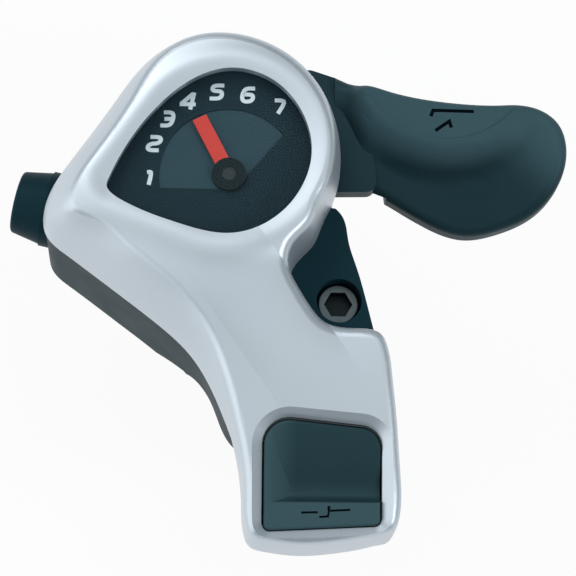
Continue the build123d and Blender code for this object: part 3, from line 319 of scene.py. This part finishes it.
for digit, (centre, strokes) in NUMERALS.items():
    strips = []
    for layer, stroke in enumerate(strokes):
        flat = rounded_path(stroke, 2)
        slanted = flat[:, :1] + SLANT * flat[:, 1:]
        spot = np.concatenate([slanted + centre[0], flat[:, 1:] + centre[1]], axis=1) / 1000
        level = np.full((len(spot), 1), DIAL.z + INK_LAYER * (layer + 1))
        strips.append(carried_strip(np.concatenate([spot, level], axis=1), STROKE_WIDTH, INK_THICKNESS))
    joined_piece("numeral_" + digit, strips, ink, "housing")

# Indicator needle. A red moulded blade on the spindle, its round hub blacked out.
HUB_RADIUS = 0.0034
red, shader, place = new_finish("needle_red", Roughness=0.45, Specular_IOR_Level=0.15)
x, y, _ = place.split()
from_axis = (x - DIAL.x).hypot(y - DIAL.y)
blade = place.noise(300.0).between((0.66, 0.055, 0.042), (0.74, 0.075, 0.058))
feed(shader, "Base Color", (from_axis > HUB_RADIUS).between(BLACK_INK, blade))
wear(red, "indicator_needle")

# Marks. A bar with a hooked end and a chevron moulded into the lever's half-moon step, and a step-down mark
# in the button's ledge. Both are laid here as thin strips, dark as their shade, in millimetres of plan.
MARK_WIDTH = 0.0007
BUTTON_MARK_WIDTH = 0.00056
MARK_THICKNESS = 0.00002
LEVER_MARK_Z = 0.02465
ROOF_Z = 0.038
ROOF_BREAK_Y = 0.024
ROOF_FALL = math.tan(math.radians(9.5))
LEDGE_DEPTH = 0.0009
LEVER_MARKS = [[(21.4, 60.9), (21.9, 62.2), (30.3, 62.1)],
               [(22.3, 57.8), (25.2, 59.9), (25.6, 58.5)]]
BUTTON_MARKS = [[(-5.6, -22.5), (-2.4, -22.4)],
                [(-2.1, -23.3), (-0.5, -23.2), (-0.2, -21.3)],
                [(0.0, -22.1), (3.9, -21.9)]]
shade, shader, place = new_finish("mark_shade", Roughness=0.9, Specular_IOR_Level=0.0)
feed(shader, "Base Color", place.noise(500.0).between((0.001, 0.003, 0.004), (0.003, 0.006, 0.008)))
strips = []
for line in LEVER_MARKS:
    flat = np.asarray(line) / 1000
    level = np.full((len(flat), 1), LEVER_MARK_Z)
    strips.append(carried_strip(np.concatenate([flat, level], axis=1), MARK_WIDTH, MARK_THICKNESS))
joined_piece("lever_marks", strips, shade, "lever")

strips = []
for line in BUTTON_MARKS:
    flat = np.asarray(line) / 1000
    level = ROOF_Z - LEDGE_DEPTH - (ROOF_BREAK_Y - flat[:, 1:]) * ROOF_FALL
    strips.append(carried_strip(np.concatenate([flat, level], axis=1), BUTTON_MARK_WIDTH, MARK_THICKNESS))
joined_piece("button_marks", strips, shade, "button")

# Dial lens. Clear moulded polycarbonate snapped up into the cover's window and polished. Only its outer faces
# mirror the room, less a small share, so that the print under it stays as clear as in the photo.
MIRROR_CUT = 0.02
lens = bpy.data.materials.new("clear_lens")
lens.use_nodes = True
tree = lens.node_tree
tree.nodes.remove(tree.nodes["Principled BSDF"])
fresnel = tree.nodes.new("ShaderNodeFresnel")
fresnel.inputs["IOR"].default_value = 1.4
sheen = Wire(tree, fresnel.outputs[0])
inside = sheen.node("ShaderNodeNewGeometry", {}, output="Backfacing")
clear = sheen.node("ShaderNodeBsdfTransparent", {"Color": (0.96, 0.985, 0.99, 1.0)})
gloss = sheen.node("ShaderNodeBsdfGlossy", {"Color": (0.6, 0.87, 0.96, 1.0), "Roughness": 0.06})
mirror = sheen.math("MAXIMUM", sheen * (1 - inside) - MIRROR_CUT, 0.0)
both = sheen.node("ShaderNodeMixShader", {0: mirror, 1: clear, 2: gloss})
tree.links.new(both.socket, tree.nodes["Material Output"].inputs["Surface"])
wear(lens, "dial_lens")

# Top cover. One moulding with dome, neck and button block, sprayed satin silver: a fine metallic flake under
# a thin clear coat, a touch blue. Inside the button's opening it is coloured dark and not metallic, as bare
# plastic and as painted shade in the gap round the button. A bump gives the soft crown round the window and
# across the neck that the flat roof of the solid lacks.
WINDOW_CENTRE = (-0.0201, 0.0483)
WINDOW_RADIUS = 0.0163
TIP_CENTRE = (-0.0423, 0.0413)
TIP_RADIUS = 0.002
CROWN_RISE = 0.0009
CROWN_OUT = 0.0035
CROWN_SPREAD = 0.0034
NECK_MIDDLE = (-0.0102, 0.0123)
NECK_AXIS = (0.583, -0.814)
NECK_HALF = 0.0085
NECK_CREST = -0.003
NECK_RADIUS = 0.03
NECK_LENGTH = 0.014
OPENING_LOW = (-0.0136, -0.0261)
OPENING_HIGH = (0.0105, -0.0038)
PAINT_DEPTH = 0.0017


def outside_window(x, y):
    """Distance outside the teardrop window: a disc of radius R and a small one of radius r, a span apart,
    with their common tangents. u runs along the line of centres and v is the distance from it. With
    n = (R - r) / span and s = sqrt(1 - n * n), it is s * v + n * u - R beside the tangents, where
    0 < s * u - n * v < s * span, and elsewhere the distance from the disc at that end."""
    line = np.subtract(TIP_CENTRE, WINDOW_CENTRE)
    span = float(np.linalg.norm(line))
    line_x, line_y = (line / span).tolist()
    n = (WINDOW_RADIUS - TIP_RADIUS) / span
    s = math.sqrt(1 - n ** 2)
    dx, dy = x - WINDOW_CENTRE[0], y - WINDOW_CENTRE[1]
    u = dx * line_x + dy * line_y
    v = x.math("ABSOLUTE", dy * line_x - dx * line_y)
    station = s * u - n * v
    at_head = station < 0.0
    at_tip = station > s * span
    from_head = dx.hypot(dy) - WINDOW_RADIUS
    from_tip = (u - span).hypot(v) - TIP_RADIUS
    from_side = s * v + n * u - WINDOW_RADIUS
    return at_head * from_head + at_tip * from_tip + (1 - at_head - at_tip) * from_side


def neck_roll(x, y):
    """Fall of a round back across the neck, -w * w / (2 * radius), with w measured from the crest and held
    to the neck's half width, and fading along the neck as a bell."""
    dx, dy = x - NECK_MIDDLE[0], y - NECK_MIDDLE[1]
    across = dx * -NECK_AXIS[1] + dy * NECK_AXIS[0]
    along = dx * NECK_AXIS[0] + dy * NECK_AXIS[1]
    w = x.math("MINIMUM", x.math("MAXIMUM", across, -NECK_HALF), NECK_HALF) - NECK_CREST
    return w * w * (-0.5 / NECK_RADIUS) * along.bell(0.0, NECK_LENGTH)


silver, shader, place = new_finish("silver_paint", Coat_Weight=0.12, Coat_Roughness=0.3)
flake = place.noise(4200.0, detail=1.0)
tone = 0.75 * place.noise(30.0) + 0.25 * flake
paint = tone.between((0.51, 0.58, 0.64), (0.61, 0.67, 0.72))
x, y, z = place.split()
in_x = (x > OPENING_LOW[0]) * (x < OPENING_HIGH[0])
in_y = (y > OPENING_LOW[1]) * (y < OPENING_HIGH[1])
below = z - ROOF_FALL * y < ROOF_Z - ROOF_FALL * ROOF_BREAK_Y - PAINT_DEPTH
# Bare plastic and painted shade: inside the button's opening, below the paint's edge, dark and not metallic.
bare_and_shaded = in_x * in_y * below
feed(shader, "Base Color", bare_and_shaded.between(paint, (0.012, 0.02, 0.024)))
feed(shader, "Metallic", 0.7 * (1 - bare_and_shaded))
feed(shader, "Roughness", 0.37 + 0.1 * place.noise(90.0))
ring = CROWN_RISE * outside_window(x, y).bell(CROWN_OUT, CROWN_SPREAD)
crown = (ring + neck_roll(x, y)).bump(1.0, 1.0)
feed(shader, "Normal", flake.bump(0.06, 0.0001, over=crown))
wear(silver, "top_cover")

# Release button. Dark moulded button in the rider's end, its thumb face scooped and its ledge marked. Its
# colour is painted lighter on the ledge and the left flank and darker in the scoop: painted light and shade.
FLANK_X = (-0.0125, -0.0065)
LEDGE_Y = (-0.0208, -0.0202)
pad, shader, place = new_finish("button_plastic", Specular_IOR_Level=0.4, Specular_Tint=COOL_SHEEN)
cloud = place.noise(70.0)
x, y, _ = place.split()
# Painted shade in the scoop and painted light on the ledge and the left flank; the scoop is also a little
# smoother.
shaded_scoop = x.climb(*FLANK_X) * y.climb(*LEDGE_Y)
painted_light = cloud.between((0.03, 0.066, 0.077), (0.037, 0.076, 0.087))
painted_shade = cloud.between((0.007, 0.026, 0.031), (0.012, 0.034, 0.04))
feed(shader, "Base Color", shaded_scoop.between(painted_light, painted_shade))
feed(shader, "Roughness", 0.48 + 0.14 * place.noise(140.0) - 0.1 * shaded_scoop)
feed(shader, "Normal", place.noise(3000.0).bump(0.14, 0.0002))
wear(pad, "release_button")

# Shade strip. A short strip, dark and bumped like black foam, between housing and cover beside the button:
# painted shade. The photo doesn't show it: it closes a pinhole of daylight that the solids leave there.
# Painted shade: a dark strip laid where the solids would let daylight through.
SHADE_STRIP_WIDTH = 0.0012
SHADE_STRIP_HEIGHT = 0.0008
shade_finish, shader, place = new_finish("shade_foam", Roughness=0.95, Specular_IOR_Level=0.1)
cells = place.noise(3500.0)
feed(shader, "Base Color", cells.between((0.004, 0.009, 0.011), (0.012, 0.02, 0.023)))
feed(shader, "Normal", cells.bump(0.4, 0.0003))
shade_path = np.array([(10.5, -9.4, 21.4), (10.5, -7.4, 21.4), (10.5, -5.4, 21.4)]) / 1000
shade_band = carried_strip(shade_path, SHADE_STRIP_WIDTH, SHADE_STRIP_HEIGHT)
joined_piece("shade_strip", [shade_band], shade_finish, "housing")

# Studio. A plain pale floor a little below the part, nearly white to the camera and in mirrors but dull
# enough to keep the part's shadow. A broad dim lamp hangs overhead, a large one stands at the left, and
# two small ones at the right and behind draw the highlights on the silver.
FLOOR_DROP = 0.03
FLOOR_HALF = 4.0
WHITE_SHARE = 0.92
floor_z = cad_box[0][2] - FLOOR_DROP
corners = [(-FLOOR_HALF, -FLOOR_HALF, floor_z), (FLOOR_HALF, -FLOOR_HALF, floor_z),
           (FLOOR_HALF, FLOOR_HALF, floor_z), (-FLOOR_HALF, FLOOR_HALF, floor_z)]
floor_mesh = bpy.data.meshes.new("floor")
floor_mesh.from_pydata(corners, [], [(0, 1, 2, 3)])
floor = bpy.data.objects.new("floor", floor_mesh)
bpy.context.scene.collection.objects.link(floor)
pale = bpy.data.materials.new("pale_floor")
pale.use_nodes = True
tree = pale.node_tree
shader = tree.nodes["Principled BSDF"]
shader.inputs["Base Color"].default_value = (0.85, 0.86, 0.87, 1.0)
shader.inputs["Roughness"].default_value = 0.9
rays = tree.nodes.new("ShaderNodeLightPath")
direct, mirrored, through = [Wire(tree, rays.outputs[f"Is {kind} Ray"])
                             for kind in ("Camera", "Glossy", "Transmission")]
seen = direct.math("MAXIMUM", direct.math("MAXIMUM", direct, mirrored), through)
white = seen.node("ShaderNodeEmission", {"Color": (1.0, 1.0, 1.0, 1.0), "Strength": 1.0})
both = seen.node("ShaderNodeMixShader", {0: WHITE_SHARE * seen, 1: Wire(tree, shader.outputs[0]), 2: white})
tree.links.new(both.socket, tree.nodes["Material Output"].inputs["Surface"])
floor_mesh.materials.append(pale)

world = bpy.data.worlds.new("studio")
bpy.context.scene.world = world
world.use_nodes = True
world.node_tree.nodes["Background"].inputs["Color"].default_value = (0.84, 0.94, 1.0, 1.0)
world.node_tree.nodes["Background"].inputs["Strength"].default_value = 0.22


def soft_lamp(name, place, aim, size, watts):
    """A square area lamp at a place, turned to face a point."""
    lamp = bpy.data.lights.new(name, "AREA")
    lamp.size = size
    lamp.energy = watts
    holder = bpy.data.objects.new(name, lamp)
    bpy.context.scene.collection.objects.link(holder)
    holder.location = place
    holder.rotation_euler = (Vector(aim) - Vector(place)).to_track_quat("-Z", "Y").to_euler()


MIDDLE = (-0.01, 0.03, 0.02)
soft_lamp("over_lamp", (0.05, 0.2, 0.9), MIDDLE, 1.2, 2.7)
soft_lamp("left_lamp", (-0.75, -0.1, 0.4), MIDDLE, 1.0, 4.2)
soft_lamp("right_lamp", (0.55, -0.27, 0.52), MIDDLE, 0.25, 2.0)
soft_lamp("back_lamp", (-0.3, 0.55, 0.65), MIDDLE, 0.45, 2.0)

# Camera. Nearly overhead and half a metre off, it frames the part as the photo does: a pixel of its 576 is
# 0.2 mm on the level of the point that it looks at.
AIM = Vector((-0.008, 0.0235, 0.026))
TOWARDS_CAMERA = Vector((-0.05, -0.27, math.sqrt(1 - 0.05 ** 2 - 0.27 ** 2)))
CAMERA_DISTANCE = 0.5
PIXEL_SIZE = 0.0002
FRAME_PIXELS = 576
SENSOR_WIDTH = 36.0
camera_data = bpy.data.cameras.new("camera")
camera_data.sensor_width = SENSOR_WIDTH
camera_data.lens = CAMERA_DISTANCE / PIXEL_SIZE / FRAME_PIXELS * SENSOR_WIDTH
camera = bpy.data.objects.new("camera", camera_data)
bpy.context.scene.collection.objects.link(camera)
side = Vector((0, 1, 0)).cross(TOWARDS_CAMERA).normalized()
up = TOWARDS_CAMERA.cross(side)
turn = Matrix((side, up, TOWARDS_CAMERA)).transposed().to_4x4()
camera.matrix_world = Matrix.Translation(AIM + CAMERA_DISTANCE * TOWARDS_CAMERA) @ turn
bpy.context.scene.camera = camera
bpy.context.scene.view_settings.view_transform = "Standard"
